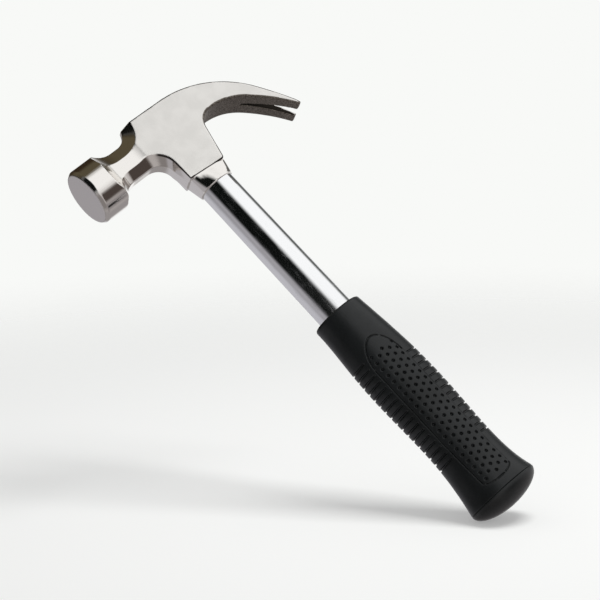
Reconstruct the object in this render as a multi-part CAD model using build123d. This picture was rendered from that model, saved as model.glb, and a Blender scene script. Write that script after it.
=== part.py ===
"""Claw hammer with a forged head, a tubular steel handle and a rubber grip.

The hammer stands upright: +Z runs up the handle to the head, the striking face looks
along -X and the claws point along +X. The origin is on the handle's axis, at the lower
rim of the head's socket, where the bare tube comes out. All sizes are in millimetres.
"""
from build123d import *
from math import cos, radians, sin, tan
import os

# ---------------------------------------------------------------- head: main sizes
STRIKE_HEIGHT = 37.0        # axis of the poll above the socket's rim
FACE_REACH = 59.0           # striking face to the handle's axis
POLL_RADIUS = 16.0
POLL_LENGTH = 12.6          # round part of the poll, as far as the neck's side flats
FACE_BEVEL_DEPTH = 2.0      # bevel round the striking face, along the axis
FACE_BEVEL_WIDTH = 1.4      # and across it
CHEEK_HALF = 8.8            # half the thickness of the head at the handle's axis
CHEEK_FLARE = 0.0355        # widening of each cheek towards the claws, per millimetre

# ---------------------------------------------------------------- head: octagonal neck
NECK_FRONT = -33.0          # the straight waist of the neck runs from here ...
NECK_BACK = -29.0           # ... to here
NECK_TOP = 11.3             # waist above the poll's axis
NECK_BOTTOM = 8.9           # and below it
NECK_SIDE = 7.3             # half its thickness
NECK_FLAT_UP = 3.9          # upper edge of the side flat at the waist
NECK_FLAT_DOWN = 3.5        # lower edge of the side flat
FACET_ANGLE = 35.0          # how far the corner facets are turned out of the side flat
FLARE_TOP = 12.0            # radii that carry each flat out to the poll
FLARE_SIDE = 14.3
FLARE_UPPER_FACET = 14.3
FLARE_LOWER_FACET = 11.0
FLARE_SWEEP = 80.0
FLARE_END = 2.0             # the flares stop this far in front of the waist
SIDE_DIP_RADIUS = 45.0      # from the waist's side flat up to the cheek
SIDE_DIP_SWEEP = 20.0

# ---------------------------------------------------------------- head: body and claws
CROWN_RISE = 16.8           # top of the crown above the poll's axis
CROWN_CENTRE = 3.2          # where the crown's curve is highest
CROWN_RADIUS = 58.0
CROWN_TILT = 2.0            # slope of the straight part of the top, rising to the front
CROWN_END_SLOPE = 55.4      # slope at which the crown's curve runs into the claws
SHOULDER_LEAN = 75.0        # slope at which the body's concave front reaches the top
SHOULDER_START = -28.0      # that front in the middle of the head
SHOULDER_RADIUS = 8.0
SHOULDER_CHEEK_START = -30.6    # and at the cheeks
SHOULDER_CHEEK_RADIUS = 15.5
ARCH_START = -23.5          # arch between the neck and the socket, in the middle
ARCH_RADIUS = 9.5
ARCH_FOOT = -11.9
ARCH_CHEEK_START = -25.2    # and at the cheeks
ARCH_CHEEK_RADIUS = 13.9
FOOT_DROP = 28.2            # foot of the cheeks below the poll's axis
FOOT_TILT = 5.0             # slope of the foot, rising to the front
FOOT_ROUND = 1.5            # rear lower corner of the cheeks
REAR_LEAN = 13.0            # lean of the body's rear edge
THROAT_RADIUS = 8.8         # between the body and the claws
THROAT_CENTRE = (23.4, -12.0)
CLAW_INNER_RADIUS = 31.0    # underside of the claws behind the throat
CLAW_INNER_SWEEP = 40.0
CLAW_TIP_TOP = (64.4, -30.8)
CLAW_TIP_UNDER = (62.3, -31.3)
CLAW_TIP_ROUND = 1.8        # outer corners of the tips, seen from above
SLOT_APEX = 37.5            # where the nail slot starts
SLOT_ANGLE = 9.0            # half the angle of its V
SLOT_ROUND = 0.8
EDGE_BEVEL = 0.6            # ground edges of the cheeks

# ---------------------------------------------------------------- head: socket and eye
SOCKET_BLOCK_LENGTH = 22.8  # block under the cheeks, along X
SOCKET_BLOCK_INSET = 0.1    # its sides inside the cheeks
SOCKET_BLOCK_ROUND = 4.0
SOCKET_RIM_WALL = 0.8       # round rim outside the tube
SOCKET_RIM_BEVEL = 0.3
SOCKET_DEPTH = 1.2          # round seat of the tube
EYE_NECK = 12.0             # height over which the round seat turns into the oval eye
EYE_HALF = (7.6, 5.2)       # flattened round eye, along X and Y
EYE_FIT = 0.05              # clearance between the eye and the tube

# ---------------------------------------------------------------- handle
TUBE_RADIUS_TOP = 9.8
TUBE_RADIUS = 10.35         # under the grip
TUBE_WALL = 1.5
BARE_LENGTH = 92.5          # socket rim to grip
TUBE_TOP_RECESS = 1.6       # tube's upper end below the crown
WEDGE_LENGTH = 14.0
PLUG_DEPTH = 12.0
PLUG_FLANGE = 2.0

# ---------------------------------------------------------------- grip
BUTT_CAP_HEIGHT = 9.0
BUTT_SPIGOT_LENGTH = 1.7    # stub of the cap inside the sleeve, up to the plug
BUTT_SEAM_BEVEL = 0.3       # the two edges of the seam between sleeve and cap
GRIP_RIM_ROUND = 1.5
# distance below the rim of the grip, rubber outside the tube along X and Y, and shift along X
GRIP_STATIONS = (
    (0.0, 4.3, 2.1, -0.2),
    (12.0, 5.1, 2.3, 0.4),
    (43.0, 7.5, 2.8, 0.8),
    (82.0, 7.0, 2.6, 0.9),
    (113.0, 8.3, 3.6, -0.1),
    (125.2, 10.8, 5.25, 0.1),
)
PANEL_TOP = 22.0            # panels on the flat sides of the grip, below its rim
PANEL_BOTTOM = 120.3
PANEL_HALF = 9.7
PANEL_SHIFT = -0.8
PANEL_TOP_ARCH = 17.0       # heights of their rounded ends
PANEL_BOTTOM_ARCH = 3.8
PANEL_GROOVE_WIDTH = 0.7    # groove round each panel
PANEL_GROOVE_DEPTH = 0.7
RIB_GAP = 1.1               # slots across the narrow sides, which leave the finger ribs
RIB_GAP_DEPTH = 1.0
RIB_START = 11.5            # where the slots start, outwards from the tube's axis
# number of slots, first slot below the rim of the grip and pitch, on each narrow side
FRONT_RIBS = (17, 30.9, 4.12)
BACK_RIBS = (14, 40.4, 4.27)

HEAD_CENTRE = (0, 0, STRIKE_HEIGHT)
SIDE_PLANE = Plane(origin=HEAD_CENTRE, x_dir=(1, 0, 0), z_dir=(0, -1, 0))
PLAN_PLANE = Plane(origin=HEAD_CENTRE, x_dir=(1, 0, 0), z_dir=(0, 0, 1))
REACH = 45.0                # more than any half width of the hammer
SECTION = -31.0             # neck and body are cut to shape on either side of this place
POLL_END = POLL_LENGTH - FACE_REACH
GRIP_LENGTH = GRIP_STATIONS[-1][0]
TUBE_LENGTH = BARE_LENGTH + GRIP_LENGTH - BUTT_SPIGOT_LENGTH - PLUG_FLANGE
TUBE_TOP = STRIKE_HEIGHT + CROWN_RISE - TUBE_TOP_RECESS
GRIP_PLANE = Plane(origin=(0, 0, -BARE_LENGTH), x_dir=(1, 0, 0), z_dir=(0, -1, 0))


def closed(*edges):
    """Face bounded by edges that follow each other, closed by a straight line."""
    outline = Curve() + list(edges)
    return make_face(outline + Line(edges[-1] @ 1, edges[0] @ 0))


def slab(face, plane=SIDE_PLANE):
    """Solid right through the head, with a face drawn in one of the head's planes."""
    return extrude(plane * face, amount=REACH, both=True)


def facet_distance(edge):
    """Distance of a corner facet from the poll's axis, from its edge on the side flat."""
    turn = radians(FACET_ANGLE)
    return NECK_SIDE * cos(turn) + edge * sin(turn)


def facet_height(edge, y):
    """Height above or below the poll's axis at which that facet stands at `y`."""
    turn = radians(FACET_ANGLE)
    return (facet_distance(edge) - y * cos(turn)) / sin(turn)


def facet_reach(edge, height):
    """Half width at which that facet stands at a height."""
    turn = radians(FACET_ANGLE)
    return (facet_distance(edge) - height * sin(turn)) / cos(turn)


def flare_face(distance, radius):
    """What is ground off outside one flat of the neck, from the waist to the poll."""
    waist = Line((SECTION, distance), (NECK_FRONT, distance))
    flare = JernArc(waist @ 1, (-1, 0), radius, -FLARE_SWEEP)
    out = Line(flare @ 1, ((flare @ 1).X, REACH))
    back = Line(out @ 1, (SECTION, REACH))
    return closed(waist, flare, out, back)


def flat_plane(angle):
    """Plane along the neck whose second axis points out through one of its flats."""
    turn = radians(angle)
    return Plane(origin=HEAD_CENTRE, x_dir=(1, 0, 0), z_dir=(0, -sin(turn), -cos(turn)))


def neck_flares():
    """Cutters for the eight flats that flare from the waist to the poll."""
    upper = facet_distance(NECK_FLAT_UP)
    lower = facet_distance(NECK_FLAT_DOWN)
    flats = [(90, NECK_TOP, FLARE_TOP), (-90, NECK_BOTTOM, FLARE_TOP)]
    for side in (0, 180):
        turn = FACET_ANGLE if side == 0 else -FACET_ANGLE
        flats.append((side, NECK_SIDE, FLARE_SIDE))
        flats.append((side + turn, upper, FLARE_UPPER_FACET))
        flats.append((side - turn, lower, FLARE_LOWER_FACET))
    return [slab(flare_face(d, radius), flat_plane(angle)) for angle, d, radius in flats]


def shoulder_face(start, height, radius):
    """Open space above the neck, in front of the body's concave shoulder."""
    waist = Line((SECTION, height), (start, height))
    arc = JernArc((start, height), (1, 0), radius, SHOULDER_LEAN)
    rise = REACH - (arc @ 1).Y
    lean = Line(arc @ 1, ((arc @ 1).X + rise / tan(radians(SHOULDER_LEAN)), REACH))
    top = Line(lean @ 1, (SECTION, REACH))
    return closed(waist, arc, lean, top)


def arch_face(start, height, radius, foot):
    """Open space under the neck, in front of the body."""
    waist = Line((SECTION, -height), (start, -height))
    arc = JernArc((start, -height), (1, 0), radius, -90)
    lean = (foot - (arc @ 1).X) / (-FOOT_DROP - (arc @ 1).Y)
    front = Line(arc @ 1, (foot + lean * (FOOT_DROP - REACH), -REACH))
    bottom = Line(front @ 1, (SECTION, -REACH))
    return closed(waist, arc, front, bottom)


def corner_cut(inner_face, inner_y, outer_face):
    """Corner facet that runs from the middle flat at `inner_y` to the cheek."""
    faces = [SIDE_PLANE.offset(inner_y) * inner_face, SIDE_PLANE.offset(CHEEK_HALF) * outer_face]
    near = loft(faces, ruled=True)
    return [near, mirror(near, about=Plane.XZ)]


def shoulder_cuts():
    """Cutters for the shoulder over the neck: the middle and the two corner facets."""
    middle = shoulder_face(SHOULDER_START, NECK_TOP, SHOULDER_RADIUS)
    height = facet_height(NECK_FLAT_UP, CHEEK_HALF)
    cheek = shoulder_face(SHOULDER_CHEEK_START, height, SHOULDER_CHEEK_RADIUS)
    corners = corner_cut(middle, facet_reach(NECK_FLAT_UP, NECK_TOP), cheek)
    return [slab(middle)] + corners


def arch_cuts():
    """Cutters for the arch under the neck: the middle and the two corner facets."""
    middle = arch_face(ARCH_START, NECK_BOTTOM, ARCH_RADIUS, ARCH_FOOT)
    height = facet_height(NECK_FLAT_DOWN, CHEEK_HALF)
    front = ARCH_CHEEK_START + ARCH_CHEEK_RADIUS
    cheek = arch_face(ARCH_CHEEK_START, height, ARCH_CHEEK_RADIUS, front)
    corners = corner_cut(middle, facet_reach(NECK_FLAT_DOWN, NECK_BOTTOM), cheek)
    return [slab(middle)] + corners


def side_dips():
    """Cutters that let the side flats of the neck rise gently into the cheeks."""
    waist = Line((SECTION, NECK_SIDE), (NECK_BACK, NECK_SIDE))
    dip = JernArc(waist @ 1, (1, 0), SIDE_DIP_RADIUS, SIDE_DIP_SWEEP)
    out = Line(dip @ 1, ((dip @ 1).X, REACH))
    back = Line(out @ 1, (SECTION, REACH))
    far = slab(closed(waist, dip, out, back), PLAN_PLANE)
    return [far, mirror(far, about=Plane.XZ)]


def side_outline():
    """Side view of the head before its neck and arch are cut out, and its ground edges."""
    tilt = radians(CROWN_TILT)
    lean = tan(radians(REAR_LEAN))
    join = (CROWN_CENTRE + CROWN_RADIUS * sin(tilt), CROWN_RISE - CROWN_RADIUS * (1 - cos(tilt)))
    top = Line((POLL_END, join[1] + (join[0] - POLL_END) * tan(tilt)), join)
    crown = JernArc(top @ 1, top % 1, CROWN_RADIUS, CROWN_TILT - CROWN_END_SLOPE)
    claw = TangentArc(crown @ 1, CLAW_TIP_TOP, tangent=crown % 1)
    tip = Line(CLAW_TIP_TOP, CLAW_TIP_UNDER)
    apex = (THROAT_CENTRE[0], THROAT_CENTRE[1] + THROAT_RADIUS)
    inner = JernArc(apex, (1, 0), CLAW_INNER_RADIUS, -CLAW_INNER_SWEEP)
    under = TangentArc(inner @ 1, CLAW_TIP_UNDER, tangent=inner % 1)
    throat = JernArc(apex, (-1, 0), THROAT_RADIUS, 90 - REAR_LEAN)
    run = (throat @ 1).X - (throat @ 1).Y * lean - FOOT_DROP * lean
    foot_x = run / (1 + tan(radians(FOOT_TILT)) * lean)
    rear = Line(throat @ 1, (foot_x, foot_height(foot_x)))
    foot = Line(rear @ 1, (POLL_END, foot_height(POLL_END)))
    front = Line(foot @ 1, top @ 0)
    face = make_face(Curve() + [top, crown, claw, tip, under, inner, throat, rear, foot, front])
    corner = face.vertices().sort_by_distance(rear @ 1)[0]
    return fillet(corner, FOOT_ROUND), (top, crown, claw, throat, rear)


def cheek_half(x):
    """Half the thickness of the head between its cheeks."""
    return CHEEK_HALF + CHEEK_FLARE * x


def foot_height(x):
    """Height of the foot of the cheeks, measured from the poll's axis."""
    return -FOOT_DROP - x * tan(radians(FOOT_TILT))


def plan_outline():
    """Top view of the head: cheeks that widen towards the rounded tips of the claws."""
    tip = CLAW_TIP_TOP[0]
    corners = [(POLL_END, REACH), (SECTION, REACH), (SECTION, cheek_half(SECTION)), (tip, cheek_half(tip))]
    mirrored = [(x, -y) for x, y in reversed(corners)]
    face = make_face(Polyline(*corners, *mirrored, close=True))
    return fillet(face.vertices().group_by(Axis.X)[-1], CLAW_TIP_ROUND)


def nail_slot():
    """Cutter for the V between the claws."""
    length = 2 * FACE_REACH - SLOT_APEX
    half = length * tan(radians(SLOT_ANGLE))
    wedge = make_face(Polyline((0, 0), (length, half), (length, -half), close=True))
    apex = wedge.vertices().sort_by(Axis.X)[0]
    return slab(Pos(SLOT_APEX, 0) * fillet(apex, SLOT_ROUND), PLAN_PLANE)


def grind(body, curves):
    """Bevel the edges where the cheeks meet the given curves of the side view."""
    edges = []
    for curve in curves:
        middle = curve @ 0.5
        for side in (cheek_half(middle.X), -cheek_half(middle.X)):
            place = (middle.X, side, middle.Y + STRIKE_HEIGHT)
            edges.append(body.edges().sort_by_distance(place)[0])
    return chamfer(edges, EDGE_BEVEL)


def poll():
    """Round poll with a bevel round its flat striking face."""
    end = Plane(origin=(-FACE_REACH, 0, STRIKE_HEIGHT), x_dir=(0, 1, 0), z_dir=(1, 0, 0))
    body = extrude(end * Circle(POLL_RADIUS), amount=POLL_LENGTH)
    rim = body.edges().sort_by(Axis.X)[0]
    return chamfer(rim, FACE_BEVEL_DEPTH, FACE_BEVEL_WIDTH)


def beyond_poll():
    """Everything outside the poll's cylinder, over the length of the flare."""
    end = Plane(origin=(POLL_END, 0, STRIKE_HEIGHT), x_dir=(0, 1, 0), z_dir=(1, 0, 0))
    ring = Circle(2 * REACH) - Circle(POLL_RADIUS)
    return extrude(end * ring, amount=NECK_FRONT - FLARE_END - POLL_END)


def socket_block():
    """Block under the cheeks that runs from a rounded rectangle into the round rim."""
    front = -SOCKET_BLOCK_LENGTH / 2
    height = STRIKE_HEIGHT + foot_height(front)
    width = 2 * (cheek_half(front) - SOCKET_BLOCK_INSET)
    block = RectangleRounded(SOCKET_BLOCK_LENGTH, width, SOCKET_BLOCK_ROUND)
    body = loft([Circle(TUBE_RADIUS_TOP + SOCKET_RIM_WALL), Pos(0, 0, height) * block])
    rim = body.faces().sort_by(Axis.Z)[0].edges()
    return chamfer(rim, SOCKET_RIM_BEVEL)


def eye_oval(offset=0.0):
    """Flattened round section of the eye, or one that stands in or out from it."""
    return SlotOverall(2 * (EYE_HALF[0] + offset), 2 * (EYE_HALF[1] + offset))


def tenon(offset, bottom, top):
    """Round foot, changing neck and flattened shank, of the eye, the tube or its bore."""
    foot = TUBE_RADIUS_TOP + offset
    oval = eye_oval(offset)
    shank_start = SOCKET_DEPTH + EYE_NECK
    seat = Pos(0, 0, bottom) * extrude(Circle(foot), amount=SOCKET_DEPTH - bottom)
    change = loft([Pos(0, 0, SOCKET_DEPTH) * Circle(foot), Pos(0, 0, shank_start) * oval])
    shank = Pos(0, 0, shank_start) * extrude(oval, amount=top - shank_start)
    return seat + change + shank


def hammer_head():
    """Forged head: poll, octagonal neck, body, split claws, socket and eye."""
    outline, ground = side_outline()
    body = grind(slab(outline) & slab(plan_outline(), PLAN_PLANE), ground)
    for cutter in shoulder_cuts() + arch_cuts() + side_dips() + neck_flares():
        body -= cutter
    body -= beyond_poll()
    body -= nail_slot()
    body += poll()
    body += socket_block()
    body -= tenon(EYE_FIT, -SOCKET_DEPTH, 2 * STRIKE_HEIGHT)
    return body


def handle_stem(offset):
    """Tenon, bare taper and straight lower end of the tube, or of its bore."""
    taper = Cone(TUBE_RADIUS + offset, TUBE_RADIUS_TOP + offset, BARE_LENGTH)
    lower = extrude(Circle(TUBE_RADIUS + offset), amount=TUBE_LENGTH - BARE_LENGTH)
    stem = Pos(0, 0, -BARE_LENGTH / 2) * taper + Pos(0, 0, -TUBE_LENGTH) * lower
    return stem + tenon(offset, 0.0, TUBE_TOP)


def handle_tube():
    """Steel tube, tapered towards the head, with a flattened tenon that fills the eye."""
    return handle_stem(0.0) - handle_stem(-TUBE_WALL)


def eye_wedge():
    """Flattened steel plug that spreads the tube in the eye."""
    return Pos(0, 0, TUBE_TOP - WEDGE_LENGTH) * extrude(eye_oval(-TUBE_WALL), amount=WEDGE_LENGTH)


def tube_end_plug():
    """Plastic plug that closes the lower end of the tube."""
    shank = extrude(Circle(TUBE_RADIUS - TUBE_WALL), amount=PLUG_DEPTH)
    flange = extrude(Circle(TUBE_RADIUS), amount=-PLUG_FLANGE)
    return Pos(0, 0, -TUBE_LENGTH) * (shank + flange)


def grip_section(depth, rubber_x, rubber_y, shift, sunk=0.0):
    """Oval section of the grip at a distance below its rim, or one sunk below its surface."""
    half_x = TUBE_RADIUS + rubber_x - sunk
    half_y = TUBE_RADIUS + rubber_y - sunk
    return Pos(shift, 0, -BARE_LENGTH - depth) * Ellipse(half_x, half_y)


def grip_core(sunk):
    """The grip's form, sunk all round below its surface."""
    return loft([grip_section(*station, sunk) for station in GRIP_STATIONS])


def panel_outline(inset=0.0):
    """Arched outline of the panels on the flat sides of the grip."""
    half = PANEL_HALF - inset
    crown = -PANEL_TOP - PANEL_TOP_ARCH
    heel = -PANEL_BOTTOM + PANEL_BOTTOM_ARCH
    top = EllipticalCenterArc((0, crown), half, PANEL_TOP_ARCH - inset, start_angle=0, arc_size=180)
    left = Line((-half, crown), (-half, heel))
    bottom = EllipticalCenterArc((0, heel), half, PANEL_BOTTOM_ARCH - inset, start_angle=180, arc_size=180)
    right = Line((half, heel), (half, crown))
    return Pos(PANEL_SHIFT, 0) * make_face(Curve() + [top, left, bottom, right])


def rib_gaps():
    """Blocks that stand through the narrow sides of the grip where its slots are."""
    gaps = []
    for side, (count, first, pitch) in ((-1, FRONT_RIBS), (1, BACK_RIBS)):
        for row in range(count):
            height = -BARE_LENGTH - first - row * pitch
            middle = side * (RIB_START + REACH) / 2
            gaps.append(Pos(middle, 0, height) * Box(REACH - RIB_START, REACH, RIB_GAP))
    return Compound(gaps)


def grip_sleeve():
    """Rubber sleeve with outlined panels, finger ribs and a flared butt."""
    body = grip_core(0.0)
    body = fillet(body.edges().sort_by(Axis.Z)[-1], GRIP_RIM_ROUND)
    body = chamfer(body.edges().sort_by(Axis.Z)[0], BUTT_SEAM_BEVEL)
    body -= Pos(0, 0, -BARE_LENGTH) * extrude(Circle(TUBE_RADIUS), amount=-GRIP_LENGTH)
    body -= rib_gaps() - grip_core(RIB_GAP_DEPTH)
    groove = panel_outline() - panel_outline(PANEL_GROOVE_WIDTH)
    return body - (slab(groove, GRIP_PLANE) - grip_core(PANEL_GROOVE_DEPTH))


def butt_cap():
    """Domed rubber cap that ends the grip, with a spigot up to the tube's plug."""
    rubber_x, rubber_y, shift = GRIP_STATIONS[-1][1:]
    seam = -BARE_LENGTH - GRIP_LENGTH
    half = (TUBE_RADIUS + rubber_x, TUBE_RADIUS + rubber_y, BUTT_CAP_HEIGHT)
    dome = split(scale(Sphere(1.0), by=half), bisect_by=Plane.XY, keep=Keep.BOTTOM)
    dome = chamfer(dome.edges().sort_by(Axis.Z)[-1], BUTT_SEAM_BEVEL)
    spigot = extrude(Circle(TUBE_RADIUS), amount=BUTT_SPIGOT_LENGTH)
    return Pos(shift, 0, seam) * dome + Pos(0, 0, seam) * spigot


NODES = {
    "hammer_head": hammer_head,
    "handle_tube": handle_tube,
    "eye_wedge": eye_wedge,
    "tube_end_plug": tube_end_plug,
    "grip_sleeve": grip_sleeve,
    "butt_cap": butt_cap,
}

if __name__ == "__main__":
    os.makedirs("parts", exist_ok=True)
    for name, make in NODES.items():
        export_step(make(), f"parts/{name}.step")
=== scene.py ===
"""A claw hammer with a forged head, a plated tube handle and a rubber grip.

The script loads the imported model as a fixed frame, rounds the edges of the forged head, models
the moulded grip in full detail, gives every piece its finish, and sets up a plain studio.
"""

import logging
import math
from dataclasses import dataclass, field
from enum import Enum

import bpy
from mathutils import Matrix, Vector

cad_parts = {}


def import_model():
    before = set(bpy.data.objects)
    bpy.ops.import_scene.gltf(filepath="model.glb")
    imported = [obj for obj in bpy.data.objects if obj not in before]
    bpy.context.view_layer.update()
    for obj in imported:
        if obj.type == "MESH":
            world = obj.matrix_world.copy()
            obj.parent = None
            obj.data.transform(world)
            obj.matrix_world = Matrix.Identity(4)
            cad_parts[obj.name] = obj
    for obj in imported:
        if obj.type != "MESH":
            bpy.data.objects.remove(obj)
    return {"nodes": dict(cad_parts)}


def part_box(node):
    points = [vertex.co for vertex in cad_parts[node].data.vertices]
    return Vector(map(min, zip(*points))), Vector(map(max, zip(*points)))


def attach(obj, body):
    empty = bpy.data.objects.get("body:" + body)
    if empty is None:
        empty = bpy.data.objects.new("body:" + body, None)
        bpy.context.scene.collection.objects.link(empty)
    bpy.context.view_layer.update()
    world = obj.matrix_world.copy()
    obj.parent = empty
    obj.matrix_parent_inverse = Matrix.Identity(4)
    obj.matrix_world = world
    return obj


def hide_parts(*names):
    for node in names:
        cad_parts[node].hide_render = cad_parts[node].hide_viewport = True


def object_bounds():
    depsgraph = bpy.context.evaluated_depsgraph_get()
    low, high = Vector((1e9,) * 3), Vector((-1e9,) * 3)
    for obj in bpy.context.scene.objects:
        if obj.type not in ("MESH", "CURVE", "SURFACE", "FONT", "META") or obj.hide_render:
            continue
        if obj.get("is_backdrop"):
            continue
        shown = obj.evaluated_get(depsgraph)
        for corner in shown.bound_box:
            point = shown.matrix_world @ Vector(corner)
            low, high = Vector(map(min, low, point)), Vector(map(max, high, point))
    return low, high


Colour = tuple[float, float, float, float]
Span = tuple[float, float]
Tree = bpy.types.NodeTree
Socket = bpy.types.NodeSocket
Piece = bpy.types.Object

MM = 0.001
WHITE: Colour = (1.0, 1.0, 1.0, 1.0)
MIDDLE: Span = (0.35, 0.65)     # where most values of a noise lie
BROAD: Span = (0.3, 0.7)        # where nearly all of them lie
LOG = logging.getLogger("claw_hammer")


# ------------------------------------------------------------------ shader nodes


def colour(code: str) -> Colour:
    """Turn an sRGB hex value into the linear colour that a shader takes.

    Args:
        code: six hex digits.

    Returns:
        Red, green, blue and alpha, linear.
    """
    channels = [int(code[i:i + 2], 16) / 255 for i in (0, 2, 4)]
    linear = [c / 12.92 if c <= 0.04045 else ((c + 0.055) / 1.055) ** 2.4 for c in channels]
    return (linear[0], linear[1], linear[2], 1.0)


def grey(value: float) -> Colour:
    """Write a number as a colour, so that it can be mixed with another number.

    Args:
        value: the number.

    Returns:
        A grey with that value in each channel.
    """
    return (value, value, value, 1.0)


def add(tree: Tree, kind: str, inputs: dict | None = None, **settings: object) -> bpy.types.Node:
    """Add a node with its settings, input values and links.

    Args:
        tree: the node tree that gets the node.
        kind: the node's type, without the ShaderNode that it starts with.
        inputs: socket name or number, and the value or the output socket that feeds it.
        **settings: the node's own properties.

    Returns:
        The new node.
    """
    node = tree.nodes.new("ShaderNode" + kind)
    for name, value in settings.items():
        setattr(node, name, value)
    for name, value in (inputs or {}).items():
        if isinstance(value, bpy.types.NodeSocket):
            tree.links.new(value, node.inputs[name])
        else:
            node.inputs[name].default_value = value
    return node


def chain(tree: Tree, operation: str, *values: object) -> Socket:
    """Carry a two-value operation through a row of values.

    Args:
        tree: the node tree.
        operation: the Math node's operation.
        *values: numbers or output sockets, at least two.

    Returns:
        The result.
    """
    result = values[0]
    for value in values[1:]:
        result = add(tree, "Math", {0: result, 1: value}, operation=operation).outputs[0]
    return result


def slope(tree: Tree, value: Socket, factor: float, start: Socket) -> Socket:
    """Add a value times a factor to another value.

    Args:
        tree: the node tree.
        value: the value that is multiplied.
        factor: what it is multiplied by.
        start: the value that the product is added to.

    Returns:
        The sum.
    """
    inputs = {0: value, 1: factor, 2: start}
    return add(tree, "Math", inputs, operation="MULTIPLY_ADD").outputs[0]


def size_of(tree: Tree, value: Socket) -> Socket:
    """Drop a value's sign.

    Args:
        tree: the node tree.
        value: the value.

    Returns:
        The value without its sign.
    """
    return add(tree, "Math", {0: value}, operation="ABSOLUTE").outputs[0]


def smooth(tree: Tree, value: Socket, span: Span, result: Span = (0.0, 1.0)) -> Socket:
    """Map a value smoothly from one range to another, clamped at both ends.

    Args:
        tree: the node tree.
        value: the value to map.
        span: where the change starts and where it ends.
        result: the value up to the start, and from the end on.

    Returns:
        The mapped value.
    """
    inputs = {"Value": value, "From Min": span[0], "From Max": span[1],
              "To Min": result[0], "To Max": result[1]}
    return add(tree, "MapRange", inputs, interpolation_type="SMOOTHSTEP").outputs[0]


def blend(tree: Tree, amount: Socket, first: Colour | Socket, second: Colour | Socket) -> Socket:
    """Mix two colours, or two numbers given as grey.

    Args:
        tree: the node tree.
        amount: 0 for the first and 1 for the second.
        first: a colour or an output socket.
        second: a colour or an output socket.

    Returns:
        The mixed colour.
    """
    inputs = {"Factor": amount, 6: first, 7: second}
    return add(tree, "Mix", inputs, data_type="RGBA").outputs[2]


def either(tree: Tree, amount: float | Socket, first: bpy.types.Node,
           second: bpy.types.Node) -> bpy.types.Node:
    """Mix two shaders.

    Args:
        tree: the node tree.
        amount: 0 for the first and 1 for the second.
        first: a shader.
        second: a shader.

    Returns:
        The mixed shader.
    """
    return add(tree, "MixShader", {0: amount, 1: first.outputs[0], 2: second.outputs[0]})


# ------------------------------------------------------------------ finishes


class Polish(Enum):
    """How a steel surface was worked, as the roughness that it leaves."""

    BUFFED = 0.09
    SATIN = 0.42
    FORGED = 0.55


@dataclass(frozen=True)
class Finish:
    """Base of every finish: a material whose patterns are measured in millimetres."""

    name: str

    def start(self) -> tuple[bpy.types.Material, Tree, Socket]:
        """Make an empty material.

        Returns:
            The material, its node tree, and the place on the object in millimetres.
        """
        material = bpy.data.materials.new(self.name)
        material.use_nodes = True
        tree = material.node_tree
        tree.nodes.clear()
        place = add(tree, "TexCoord").outputs["Object"]
        scaled = add(tree, "VectorMath", {0: place, "Scale": 1 / MM}, operation="SCALE")
        return material, tree, scaled.outputs[0]

    def end(self, tree: Tree, inputs: dict) -> None:
        """Give the material its shader.

        Args:
            tree: the material's node tree.
            inputs: what goes into the shader's sockets.
        """
        shader = add(tree, "BsdfPrincipled", inputs)
        add(tree, "OutputMaterial", {"Surface": shader.outputs[0]})

    def noise(self, tree: Tree, place: Socket, size: float,
              stretch: tuple[float, float, float] = (1, 1, 1), detail: float = 3.0) -> Socket:
        """Add a noise whose patches have a real size.

        Args:
            tree: the material's node tree.
            place: the place in millimetres.
            size: size of a patch in millimetres.
            stretch: how many times longer the patches are along X, Y and Z.
            detail: octaves of finer noise.

        Returns:
            The noise, from 0 to 1.
        """
        scale = tuple(1 / (size * s) for s in stretch)
        mapped = add(tree, "Mapping", {"Vector": place, "Scale": scale}).outputs[0]
        inputs = {"Vector": mapped, "Scale": 1.0, "Detail": detail}
        return add(tree, "TexNoise", inputs).outputs["Fac"]

    def relief(self, tree: Tree, height: Socket, strength: float | Socket,
               rise: float) -> Socket:
        """Turn a pattern into fine relief.

        Args:
            tree: the material's node tree.
            height: the pattern.
            strength: how much of the relief shows.
            rise: its height in millimetres at full strength.

        Returns:
            The normal.
        """
        inputs = {"Height": height, "Strength": strength, "Distance": rise * MM}
        return add(tree, "Bump", inputs).outputs[0]


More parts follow.
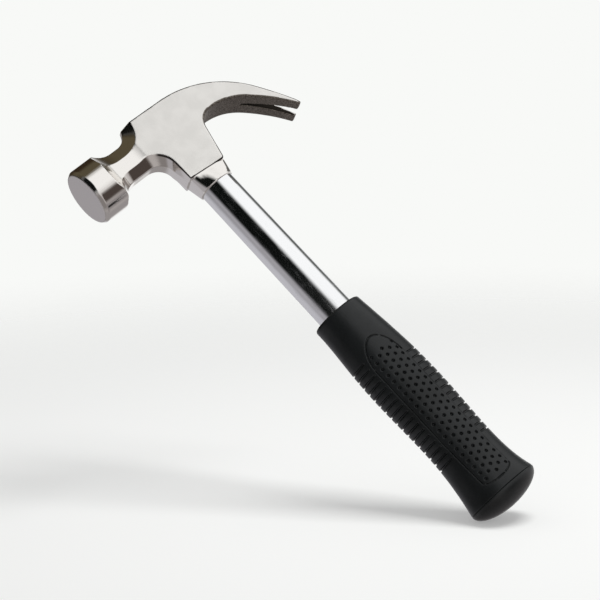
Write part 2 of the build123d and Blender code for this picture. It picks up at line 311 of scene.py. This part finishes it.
@dataclass(frozen=True)
class ForgedSteel(Finish):
    """Drop-forged carbon steel: buffed poll, neck and socket, satin-ground cheeks and striking
    face, and claws left dark and gritty on their undersides, as the die left them; the slot's
    walls are forged too, but coloured near-black as painted shade inside the narrow slot.

    To the eye: mirror-like bands round the poll and the neck's facets, soft pale cheeks with a
    fine grain, faint clouds and a thin dark rim, which is a painted dark reflection along their
    rounded edge, and near-black rough steel under the claws.
    Each span says where one finish starts to give way to the next, and where that is complete.
    """

    name: str = "carbon_steel_forged_and_ground"
    buffed: str = "EFECE8"
    ground: str = "F5F3EF"
    smudge: str = "E0DEDA"
    face: str = "DEDAD7"
    # painted dark reflection: the dark colour along the cheeks' rounded rim
    rim: str = "4A4644"
    scale: str = "9C958C"
    scale_pit: str = "69635C"
    # painted shade: near-black colour of the slot's forged walls, for the shade inside the narrow
    # slot
    slot: str = "2B2723"
    grain: float = 0.35                     # width of a grinding mark
    grain_length: float = 14.0              # its length over its width
    grain_strength: float = 0.06
    cloud: float = 9.0                      # size of the faint clouds on the cheeks
    cloud_share: float = 0.35               # how strongly they tint the steel at most
    grit: float = 0.7                       # size of a grain of forging scale
    grit_levels: Span = (0.38, 0.66)
    grit_strength: float = 0.55
    rise: float = 0.25                      # height of grain and grit at full strength
    face_end: Span = (-58.4, -58.8)         # in front of this is the striking face
    neck_end: Span = (-23.0, -22.0)         # the cheeks start behind this
    body_start: Span = (-17.5, -15.5)       # and their dark rim behind this
    cheek_flare: float = 0.0355             # spread of each cheek per millimetre towards the claws
    cheek_half: Span = (8.68, 8.77)         # half thickness at the cheeks, at the handle's axis
    rim_half: Span = (7.8, 8.1)             # and at the inner edge of their rim
    foot_slope: float = 0.0875              # fall of the cheeks' foot for each millimetre
    foot: Span = (8.75, 8.85)               # its height at the handle's axis
    throat: Span = (13.0, 18.0)             # behind this the undersides are as forged
    underside: Span = (-0.03, -0.12)        # Z of the normal on an underside
    slot_half: Span = (6.8, 6.5)            # the slot's walls lie within this of the middle
    slot_wall: Span = (0.95, 0.98)          # size of Y of the normal on a wall

    def ground_masks(self, tree: Tree, place: Socket) -> tuple[Socket, Socket, Socket]:
        """Find the surfaces that were ground.

        The cheeks are the two outermost planes, which spread towards the claws and end at a
        sloping foot. Their rim is a narrow rounded edge, coloured dark as a painted dark
        reflection.

        Args:
            tree: the material's node tree.
            place: the place in millimetres.

        Returns:
            Masks of the cheeks, of their rim with its painted dark reflection, and of the striking
            face.
        """
        x, y, z = add(tree, "SeparateXYZ", {0: place}).outputs
        half = slope(tree, x, -self.cheek_flare, size_of(tree, y))
        above = smooth(tree, slope(tree, x, self.foot_slope, z), self.foot)
        outside = smooth(tree, half, self.cheek_half)
        cheek = chain(tree, "MULTIPLY", outside, above, smooth(tree, x, self.neck_end))
        inside = smooth(tree, half, self.cheek_half, (1.0, 0.0))
        edge = smooth(tree, half, self.rim_half)
        rim = chain(tree, "MULTIPLY", edge, inside, above, smooth(tree, x, self.body_start))
        return cheek, rim, smooth(tree, x, self.face_end)

    def forged_masks(self, tree: Tree, place: Socket) -> tuple[Socket, Socket]:
        """Find the surfaces that were left as forged.

        Args:
            tree: the material's node tree.
            place: the place in millimetres.

        Returns:
            Masks of all of them, and of the slot's walls alone.
        """
        x, y, _ = add(tree, "SeparateXYZ", {0: place}).outputs
        normal = add(tree, "TexCoord").outputs["Normal"]
        _, across, up = add(tree, "SeparateXYZ", {0: normal}).outputs
        claws = smooth(tree, x, self.throat)
        under = chain(tree, "MULTIPLY", smooth(tree, up, self.underside), claws)
        sideways = smooth(tree, size_of(tree, across), self.slot_wall)
        inside = smooth(tree, size_of(tree, y), self.slot_half)
        wall = chain(tree, "MULTIPLY", sideways, inside, claws)
        return chain(tree, "MAXIMUM", under, wall), wall

    def make(self) -> bpy.types.Material:
        """Build the material."""
        material, tree, place = self.start()
        cheek, rim, face = self.ground_masks(tree, place)
        rough, wall = self.forged_masks(tree, place)
        satin = chain(tree, "MAXIMUM", cheek, face)
        stretch = (self.grain_length, 1, self.grain_length)
        grain = self.noise(tree, place, self.grain, stretch, 2.0)
        grit = self.noise(tree, place, self.grit, detail=4.0)
        clouds = smooth(tree, self.noise(tree, place, self.cloud), MIDDLE, (0.0, self.cloud_share))

        ground = blend(tree, clouds, colour(self.ground), colour(self.smudge))
        ground = blend(tree, face, ground, colour(self.face))
        base = blend(tree, satin, colour(self.buffed), ground)
        # painted dark reflection along the cheeks' rim
        base = blend(tree, rim, base, colour(self.rim))
        pits = smooth(tree, grit, self.grit_levels)
        dark = blend(tree, pits, colour(self.scale_pit), colour(self.scale))
        # forged scale under the claws; the slot's walls get the near-black painted shade instead
        base = blend(tree, wall, blend(tree, rough, base, dark), colour(self.slot))

        worked = blend(tree, satin, grey(Polish.BUFFED.value), grey(Polish.SATIN.value))
        roughness = blend(tree, rough, worked, grey(Polish.FORGED.value))
        height = blend(tree, rough, grain, grit)
        strength = blend(tree, rough, grey(self.grain_strength), grey(self.grit_strength))
        normal = self.relief(tree, height, strength, self.rise)
        self.end(tree, {"Base Color": base, "Metallic": 1.0, "Roughness": roughness,
                        "Normal": normal})
        return material


@dataclass(frozen=True)
class PlatedSteel(Finish):
    """Chrome-plated drawn tube: a mirror with fine draw lines and a few pits under the plating.

    To the eye: long sharp bands of white, grey and black along the handle, slightly broken up.
    """

    name: str = "chrome_plated_drawn_steel"
    plate: str = "F7F8F9"
    line: float = 0.25                      # width of a draw line
    line_length: float = 60.0               # its length over its width
    pit_distance: float = 3.6               # from one pit to the next
    pit_edge: float = 0.12                  # size of a pit over that distance
    pit_depth: float = 0.5
    strength: float = 0.05
    rise: float = 0.1                       # height of the lines at full strength
    haze: float = 2.5                       # size of the patches of haze
    haze_length: float = 4.0                # their length over their width
    haze_levels: Span = (0.05, 0.10)        # roughness of the plating
    scuff: float = 1.6                      # size of a scuff
    scuff_length: float = 6.0
    scuff_levels: Span = (0.48, 0.75)
    scuff_haze: float = 0.14                # what a scuff adds to the roughness
    rubbed: Span = (-35.0, -95.0)           # heights down which hands have dulled the plating
    rubbed_haze: float = 0.10

    def make(self) -> bpy.types.Material:
        """Build the material."""
        material, tree, place = self.start()
        lines = self.noise(tree, place, self.line, (1, 1, self.line_length), 2.0)
        inputs = {"Vector": place, "Scale": 1 / self.pit_distance}
        pits = add(tree, "TexVoronoi", inputs, feature="F1").outputs["Distance"]
        pit = smooth(tree, pits, (0.0, self.pit_edge), (self.pit_depth, 0.0))
        height = chain(tree, "SUBTRACT", lines, pit)

        patches = self.noise(tree, place, self.haze, (1, 1, self.haze_length))
        haze = smooth(tree, patches, BROAD, self.haze_levels)
        up = add(tree, "SeparateXYZ", {0: place}).outputs[2]
        rubbed = smooth(tree, up, self.rubbed, (0.0, self.rubbed_haze))
        marks = self.noise(tree, place, self.scuff, (1, 1, self.scuff_length))
        scuffs = smooth(tree, marks, self.scuff_levels, (0.0, self.scuff_haze))
        self.end(tree, {"Base Color": colour(self.plate), "Metallic": 1.0,
                        "Roughness": chain(tree, "ADD", haze, rubbed, scuffs),
                        "Normal": self.relief(tree, height, self.strength, self.rise)})
        return material


@dataclass(frozen=True)
class MouldedRubber(Finish):
    """Black thermoplastic rubber, injection moulded in a finely blasted mould.

    To the eye: a soft black with a broad dull sheen and a barely visible leathery grain.
    """

    name: str = "thermoplastic_rubber_moulded"
    body: str = "17191A"
    worn: str = "1D1F20"
    patch: float = 16.0                     # size of the patches that handling has polished
    roughness: Span = (0.38, 0.31)          # as moulded, and polished
    refraction: float = 1.40
    grain: float = 0.45                     # size of the mould's blasted grain
    strength: float = 0.18
    rise: float = 0.12                      # height of the grain at full strength

    def make(self) -> bpy.types.Material:
        """Build the material."""
        material, tree, place = self.start()
        patches = self.noise(tree, place, self.patch)
        grain = self.noise(tree, place, self.grain, detail=2.0)
        worn = smooth(tree, patches, MIDDLE)
        self.end(tree, {"Base Color": blend(tree, worn, colour(self.body), colour(self.worn)),
                        "Roughness": smooth(tree, patches, BROAD, self.roughness),
                        "IOR": self.refraction,
                        "Normal": self.relief(tree, grain, self.strength, self.rise)})
        return material


@dataclass(frozen=True)
class PlainSteel(Finish):
    """Bright drawn steel, unplated, for the plug driven into the tube's end.

    To the eye: a grey metal spot in the head's top, a little stained.
    """

    name: str = "drawn_steel_bright"
    body: str = "B9B7B2"
    stain: str = "8A867F"
    stain_size: float = 1.8
    stain_levels: Span = (0.4, 0.7)
    roughness: Span = (0.3, 0.45)           # bright, and stained

    def make(self) -> bpy.types.Material:
        """Build the material."""
        material, tree, place = self.start()
        stains = self.noise(tree, place, self.stain_size)
        stained = smooth(tree, stains, self.stain_levels)
        self.end(tree, {"Base Color": blend(tree, stained, colour(self.body), colour(self.stain)),
                        "Metallic": 1.0, "Roughness": smooth(tree, stains, BROAD, self.roughness)})
        return material


@dataclass(frozen=True)
class MouldedPlastic(Finish):
    """Grey polyethylene, injection moulded, for the plug in the tube's lower end.

    To the eye: nothing, as the butt cap covers it; a plain dull grey if it were taken out.
    """

    name: str = "polyethylene_moulded"
    body: str = "55585A"
    pale: str = "5E6163"
    cloud: float = 4.0                      # size of the paler clouds

    def make(self) -> bpy.types.Material:
        """Build the material."""
        material, tree, place = self.start()
        clouds = self.noise(tree, place, self.cloud)
        self.end(tree, {"Base Color": blend(tree, clouds, colour(self.body), colour(self.pale)),
                        "Roughness": 0.45, "IOR": 1.51})
        return material


# ------------------------------------------------------------------ pieces


def dress(piece: Piece, material: bpy.types.Material) -> None:
    """Give a piece one material all over.

    Args:
        piece: the object to dress.
        material: its new material.
    """
    for slot in piece.material_slots:
        slot.material = material
    if not piece.material_slots:
        piece.data.materials.append(material)


def select(piece: Piece) -> None:
    """Select one object alone and make it active.

    Args:
        piece: the object.
    """
    bpy.ops.object.select_all(action="DESELECT")
    piece.select_set(True)
    bpy.context.view_layer.objects.active = piece


def reshape(piece: Piece, name: str, kind: str, **settings: object) -> None:
    """Put a modifier on a piece and apply it.

    Args:
        piece: the piece.
        name: the modifier's name.
        kind: its type.
        **settings: its properties.
    """
    select(piece)
    modifier = piece.modifiers.new(name, kind)
    for key, value in settings.items():
        setattr(modifier, key, value)
    bpy.ops.object.modifier_apply(modifier=modifier.name)


def merged_copy(node: Piece, name: str) -> Piece:
    """Copy a node's mesh into a new piece with its loose triangles joined.

    Args:
        node: the frame's node.
        name: the new piece's name.

    Returns:
        The new piece.
    """
    piece = bpy.data.objects.new(name, node.data.copy())
    bpy.context.scene.collection.objects.link(piece)
    select(piece)
    bpy.ops.object.mode_set(mode="EDIT")
    bpy.ops.mesh.select_all(action="SELECT")
    bpy.ops.mesh.remove_doubles(threshold=0.002 * MM)
    bpy.ops.object.mode_set(mode="OBJECT")
    return piece


def install(piece: Piece, node: str, material: bpy.types.Material) -> None:
    """Let a finished piece stand for a node of the frame.

    Args:
        piece: the piece.
        node: the node that it stands for.
        material: its material.
    """
    dress(piece, material)
    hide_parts(node)
    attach(piece, "root")
    LOG.info("%s: %d faces, %s", piece.name, len(piece.data.polygons), material.name)


@dataclass(frozen=True)
class Softening:
    """Rounds a piece's edges, as moulding or polishing does: its surface is rebuilt on a fine
    even grid, rubbed smooth, and thinned out where it is flat."""

    grid: float                 # size of the grid in millimetres
    passes: int                 # how many times it is rubbed
    keep: float                 # share of the faces kept

    def apply(self, piece: Piece) -> None:
        """Soften a piece.

        Args:
            piece: the piece.
        """
        reshape(piece, "even_grid", "REMESH", mode="VOXEL", voxel_size=self.grid * MM)
        reshape(piece, "rubbed", "SMOOTH", factor=0.5, iterations=self.passes)
        reshape(piece, "fewer_faces", "DECIMATE", ratio=self.keep)
        bpy.ops.object.shade_smooth()


@dataclass
class Head:
    """The forged head, whose edges grinding and polishing have rounded."""

    softening: Softening = Softening(0.4, 3, 0.7)
    finish: ForgedSteel = field(default_factory=ForgedSteel)

    def build(self, nodes: dict[str, Piece]) -> None:
        """Model and dress the head.

        Args:
            nodes: the frame's nodes by name.
        """
        piece = merged_copy(nodes["hammer_head"], "hammer_head_forged")
        self.softening.apply(piece)
        install(piece, "hammer_head", self.finish.make())


@dataclass
class CarriedPieces:
    """The rigid pieces whose form is already right: they only get their finish."""

    finishes: dict[str, Finish] = field(default_factory=lambda: {
        "handle_tube": PlatedSteel(),
        "eye_wedge": PlainSteel(),
        "tube_end_plug": MouldedPlastic(),
    })

    def build(self, nodes: dict[str, Piece]) -> None:
        """Dress the pieces.

        Args:
            nodes: the frame's nodes by name.
        """
        for name, finish in self.finishes.items():
            dress(nodes[name], finish.make())
            LOG.info("%s: %s", name, finish.name)


@dataclass
class Grip:
    """The moulded grip: sleeve with dimpled panels and finger ribs, and the butt cap."""

    columns: tuple[float, ...] = (-7.4, -3.8, -0.2, 3.4, 7.0)   # of dimples, along X
    pitch: float = 4.25         # from one dimple to the next in a column
    first: float = 31.0         # first and last row below the rim of the grip
    last: float = 118.0
    radius: float = 0.9         # of the ball that presses a dimple
    sink: float = 0.3           # how far the ball's middle lies below the skin
    slots: int = 14             # rib slots of the claws' side, which run on as far as the panels
    slot_first: float = 40.4    # the first one below the rim of the grip
    slot_pitch: float = 4.27
    slot_place: float = 10.6    # middle of the added length, from the handle's axis
    slot_size: tuple[float, float, float] = (3.0, 1.0, 2.0)     # along the skin, along Z, through
    softening: Softening = Softening(0.3, 1, 0.28)
    finish: MouldedRubber = field(default_factory=MouldedRubber)

    def dimple_spots(self) -> list[Span]:
        """Where the dimples are on a side, as X and the depth below the grip's rim."""
        spots = []
        for number, x in enumerate(self.columns):
            depth = self.first + (number % 2) * self.pitch / 2
            while depth <= self.last:
                spots.append((x, depth))
                depth += self.pitch
        return spots

    def slot_spots(self) -> list[Span]:
        """Where the rib slots are lengthened, as X and the depth below the grip's rim."""
        return [(self.slot_place, self.slot_first + number * self.slot_pitch)
                for number in range(self.slots)]

    def stamps(self, sleeve: Piece, shape: Piece, spots: list[Span], sink: float) -> list[Piece]:
        """Copy a shape to places on both flat sides of the sleeve, square to the skin.

        Args:
            sleeve: the piece.
            shape: the shape to copy, whose Z points out of the skin; it is removed afterwards.
            spots: X of each place, and its depth below the grip's rim.
            sink: how far its middle lies below the skin.

        Returns:
            The copies.
        """
        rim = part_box("grip_sleeve")[1].z
        copies = []
        for side in (-1, 1):
            for x, depth in spots:
                start = Vector((x * MM, side * 50 * MM, rim - depth * MM))
                hit, spot, normal, _ = sleeve.ray_cast(start, Vector((0, -side, 0)))
                if not hit:
                    continue
                along = Vector((0, 0, 1)).cross(normal).normalized()
                turn = Matrix((along, normal.cross(along), normal)).transposed().to_4x4()
                copy = bpy.data.objects.new("stamp", shape.data.copy())
                copy.data.transform(Matrix.Translation(spot - normal * sink * MM) @ turn)
                bpy.context.scene.collection.objects.link(copy)
                copies.append(copy)
        bpy.data.objects.remove(shape)
        return copies

    def cutter(self, sleeve: Piece) -> Piece:
        """The balls that press the dimples and the blocks that lengthen the rib slots.

        Args:
            sleeve: the piece that gets them.

        Returns:
            All of them as one object.
        """
        bpy.ops.object.select_all(action="DESELECT")
        bpy.ops.mesh.primitive_uv_sphere_add(segments=14, ring_count=8, radius=self.radius * MM)
        cutters = self.stamps(sleeve, bpy.context.object, self.dimple_spots(), self.sink)
        bpy.ops.object.select_all(action="DESELECT")
        bpy.ops.mesh.primitive_cube_add(size=MM, scale=self.slot_size)
        bpy.ops.object.transform_apply(location=False, rotation=False, scale=True)
        cutters += self.stamps(sleeve, bpy.context.object, self.slot_spots(), 0.0)
        select(cutters[0])
        for cutter in cutters:
            cutter.select_set(True)
        bpy.ops.object.join()
        return cutters[0]

    def sleeve(self, node: Piece) -> Piece:
        """The sleeve with its dimples and longer rib slots.

        Args:
            node: the frame's sleeve.

        Returns:
            The finished piece.
        """
        piece = merged_copy(node, "grip_sleeve_moulded")
        cutter = self.cutter(piece)
        reshape(piece, "dimples_and_slots", "BOOLEAN", operation="DIFFERENCE", solver="EXACT",
                object=cutter)
        bpy.data.objects.remove(cutter)
        self.softening.apply(piece)
        return piece

    def build(self, nodes: dict[str, Piece]) -> None:
        """Model and dress the grip.

        Args:
            nodes: the frame's nodes by name.
        """
        rubber = self.finish.make()
        install(self.sleeve(nodes["grip_sleeve"]), "grip_sleeve", rubber)
        dress(nodes["butt_cap"], rubber)
        LOG.info("butt_cap: %s", self.finish.name)


# ------------------------------------------------------------------ studio


@dataclass(frozen=True)
class Flag:
    """A dark or grey board that only polished metal shows, far off in one direction."""

    toward: tuple[float, float, float]
    size: tuple[float, float, float]    # half size along X, Y and Z, at a distance of 1
    shade: str
    soft: float                         # width of its soft edge, over its size


@dataclass
class Studio:
    """The camera, the pale floor and the soft light."""

    lens: float = 156.0
    camera_place: tuple[float, float, float] = (-525.16, -1220.60, -304.43)
    camera_right: tuple[float, float, float] = (0.719609, -0.177620, -0.671278)
    camera_up: tuple[float, float, float] = (0.578985, -0.380193, 0.721269)
    backdrop: str = "F8F9F7"
    ambient: float = 0.4                    # strength of the surround on dull surfaces
    ground_glow: str = "B4AFAE"             # what polished metal sees straight below it
    horizon: Span = (-0.75, -0.1)           # heights between which that turns to white
    floor_view: float = 11.0                # degrees by which the camera looks down on the floor
    floor_size: float = 3.0                 # its side in metres
    floor_fade: Span = (0.35, 0.75)         # distances over which it fades out
    floor_paper: float = 0.68               # share of its light that shadows can take away
    lamp_lean: float = 0.3                  # how far the lamp leans to the camera's right
    lamp_distance: float = 0.8
    lamp_size: float = 0.4
    lamp_power: float = 5.0
    flags: tuple[Flag, ...] = (
        Flag((-0.50, 0.84, 0.20), (0.85, 0.85, 0.60), "BDBBC0", 0.2),
        Flag((-0.10, 0.75, -0.60), (0.70, 0.60, 0.50), "9A9697", 0.3),
        Flag((0.05, 0.05, -1.00), (0.50, 0.36, 0.30), "8E898A", 0.3),
        Flag((-0.75, -0.15, -0.50), (0.60, 0.50, 0.60), "85807F", 0.3),
        Flag((-1.00, -0.05, 0.10), (0.40, 0.45, 0.60), "A9A6AA", 0.3),
        Flag((0.10, 0.25, 0.96), (0.95, 0.95, 0.70), "564E3D", 0.22),
        Flag((0.30, 0.55, 0.76), (0.45, 0.45, 0.45), "32271B", 0.5),
        Flag((-0.80, 0.22, 0.62), (0.45, 0.60, 0.36), "0E0D0A", 0.4),
        Flag((-0.60, -0.77, 0.36), (0.68, 0.68, 0.62), "0B0D0C", 0.3),
        Flag((0.36, -0.58, -0.74), (0.30, 0.30, 0.30), "4A423E", 0.4),
        Flag((0.93, 0.30, 0.20), (0.30, 0.30, 0.42), "5F615F", 0.6),
    )

    def axes(self) -> tuple[Vector, Vector, Vector]:
        """The camera's right, up and back."""
        right = Vector(self.camera_right).normalized()
        back = right.cross(Vector(self.camera_up)).normalized()
        return right, back.cross(right), back

    def camera(self) -> None:
        """Place the camera."""
        pose = Matrix(self.axes()).transposed().to_4x4()
        pose.translation = Vector(self.camera_place) * MM
        data = bpy.data.cameras.new("studio_camera")
        data.lens = self.lens
        data.sensor_width = 36.0
        data.clip_start, data.clip_end = 0.05, 20.0
        camera = bpy.data.objects.new("studio_camera", data)
        camera.matrix_world = pose
        bpy.context.scene.collection.objects.link(camera)
        bpy.context.scene.camera = camera

    def mirrored(self, tree: Tree) -> Socket:
        """Draw what polished metal sees: a white surround, greyer below, with the flags in it.

        Args:
            tree: the world's node tree.

        Returns:
            The colour in each direction.
        """
        toward = add(tree, "TexCoord").outputs["Generated"]
        height = add(tree, "SeparateXYZ", {0: toward}).outputs[2]
        shade = blend(tree, smooth(tree, height, self.horizon), colour(self.ground_glow), WHITE)
        for flag in self.flags:
            offset = add(tree, "VectorMath", {0: toward, 1: flag.toward}, operation="SUBTRACT")
            inputs = {0: offset.outputs[0], 1: flag.size}
            scaled = add(tree, "VectorMath", inputs, operation="DIVIDE").outputs[0]
            distance = add(tree, "VectorMath", {0: scaled}, operation="LENGTH").outputs["Value"]
            mask = smooth(tree, distance, (1 - flag.soft, 1 + flag.soft), (1.0, 0.0))
            shade = blend(tree, mask, shade, colour(flag.shade))
        return shade

    def world(self) -> None:
        """Surround the scene: plain for the camera, dimmer for dull surfaces."""
        world = bpy.data.worlds.new("studio")
        bpy.context.scene.world = world
        world.use_nodes = True
        tree = world.node_tree
        tree.nodes.clear()
        rays = add(tree, "LightPath").outputs
        plain = add(tree, "Background", {"Color": WHITE, "Strength": self.ambient})
        mirrored = add(tree, "Background", {"Color": self.mirrored(tree), "Strength": 1.0})
        seen = add(tree, "Background", {"Color": colour(self.backdrop), "Strength": 1.0})
        lit = either(tree, rays["Is Glossy Ray"], plain, mirrored)
        clear = chain(tree, "MAXIMUM", rays["Is Camera Ray"], rays["Is Transmission Ray"])
        add(tree, "OutputWorld", {"Surface": either(tree, clear, lit, seen).outputs[0]})

    def floor_normal(self) -> Vector:
        """Upward direction of the floor, which the camera looks down on a little."""
        _, up, back = self.axes()
        tilt = math.radians(self.floor_view)
        return (up * math.cos(tilt) + back * math.sin(tilt)).normalized()

    def paper(self) -> bpy.types.Material:
        """Build the floor's material: white paper, lit from within as far as the camera sees.

        To the eye: nothing but a soft shadow, as it fades into the backdrop on all sides.
        """
        material = bpy.data.materials.new("studio_floor_paper")
        material.use_nodes = True
        tree = material.node_tree
        tree.nodes.clear()
        rays = add(tree, "LightPath").outputs
        spot = add(tree, "TexCoord").outputs["Object"]
        far = add(tree, "VectorMath", {0: spot}, operation="LENGTH").outputs["Value"]
        below = add(tree, "NewGeometry").outputs["Backfacing"]
        hidden = chain(tree, "MAXIMUM", smooth(tree, far, self.floor_fade), below)
        paper = add(tree, "BsdfDiffuse", {"Color": colour(self.backdrop)})
        glow = add(tree, "Emission", {"Color": WHITE, "Strength": 1.0})
        lit = either(tree, self.floor_paper, glow, paper)
        seen = either(tree, rays["Is Camera Ray"], paper, lit)
        surface = either(tree, hidden, seen, add(tree, "BsdfTransparent"))
        add(tree, "OutputMaterial", {"Surface": surface.outputs[0]})
        return material

    def floor(self, nodes: dict[str, Piece]) -> None:
        """Lay a pale floor under the butt, on which the hammer stands tilted.

        Args:
            nodes: the frame's nodes by name.
        """
        normal = self.floor_normal()
        points = [v.co for v in nodes["butt_cap"].data.vertices]
        touch = min(points, key=lambda p: p.dot(normal))
        bpy.ops.object.select_all(action="DESELECT")
        bpy.ops.mesh.primitive_plane_add(size=self.floor_size)
        floor = bpy.context.object
        floor.name = "studio_floor"
        turn = normal.to_track_quat("Z", "Y").to_matrix().to_4x4()
        floor.matrix_world = Matrix.Translation(touch) @ turn
        floor.visible_glossy = False
        dress(floor, self.paper())
        floor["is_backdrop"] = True

    def lamp(self) -> None:
        """Hang one square soft lamp over the hammer."""
        low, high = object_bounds()
        towards = (self.floor_normal() + self.axes()[0] * self.lamp_lean).normalized()
        data = bpy.data.lights.new("overhead_softbox", "AREA")
        data.size = self.lamp_size
        data.energy = self.lamp_power
        lamp = bpy.data.objects.new("overhead_softbox", data)
        turn = towards.to_track_quat("Z", "Y").to_matrix().to_4x4()
        spot = (low + high) / 2 + towards * self.lamp_distance
        lamp.matrix_world = Matrix.Translation(spot) @ turn
        lamp.visible_glossy = False
        lamp.visible_camera = False
        bpy.context.scene.collection.objects.link(lamp)

    def build(self, nodes: dict[str, Piece]) -> None:
        """Set up the whole studio.

        Args:
            nodes: the frame's nodes by name.
        """
        bpy.context.scene.view_settings.view_transform = "Standard"
        self.camera()
        self.world()
        self.floor(nodes)
        self.lamp()
        LOG.info("studio: camera, floor and lamp")


def main() -> None:
    """Build the hammer piece by piece, then the studio."""
    logging.basicConfig(level=logging.INFO, format="%(message)s")
    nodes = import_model()["nodes"]
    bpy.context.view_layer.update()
    Head().build(nodes)
    CarriedPieces().build(nodes)
    Grip().build(nodes)
    Studio().build(nodes)


if __name__ == "__main__":
    main()
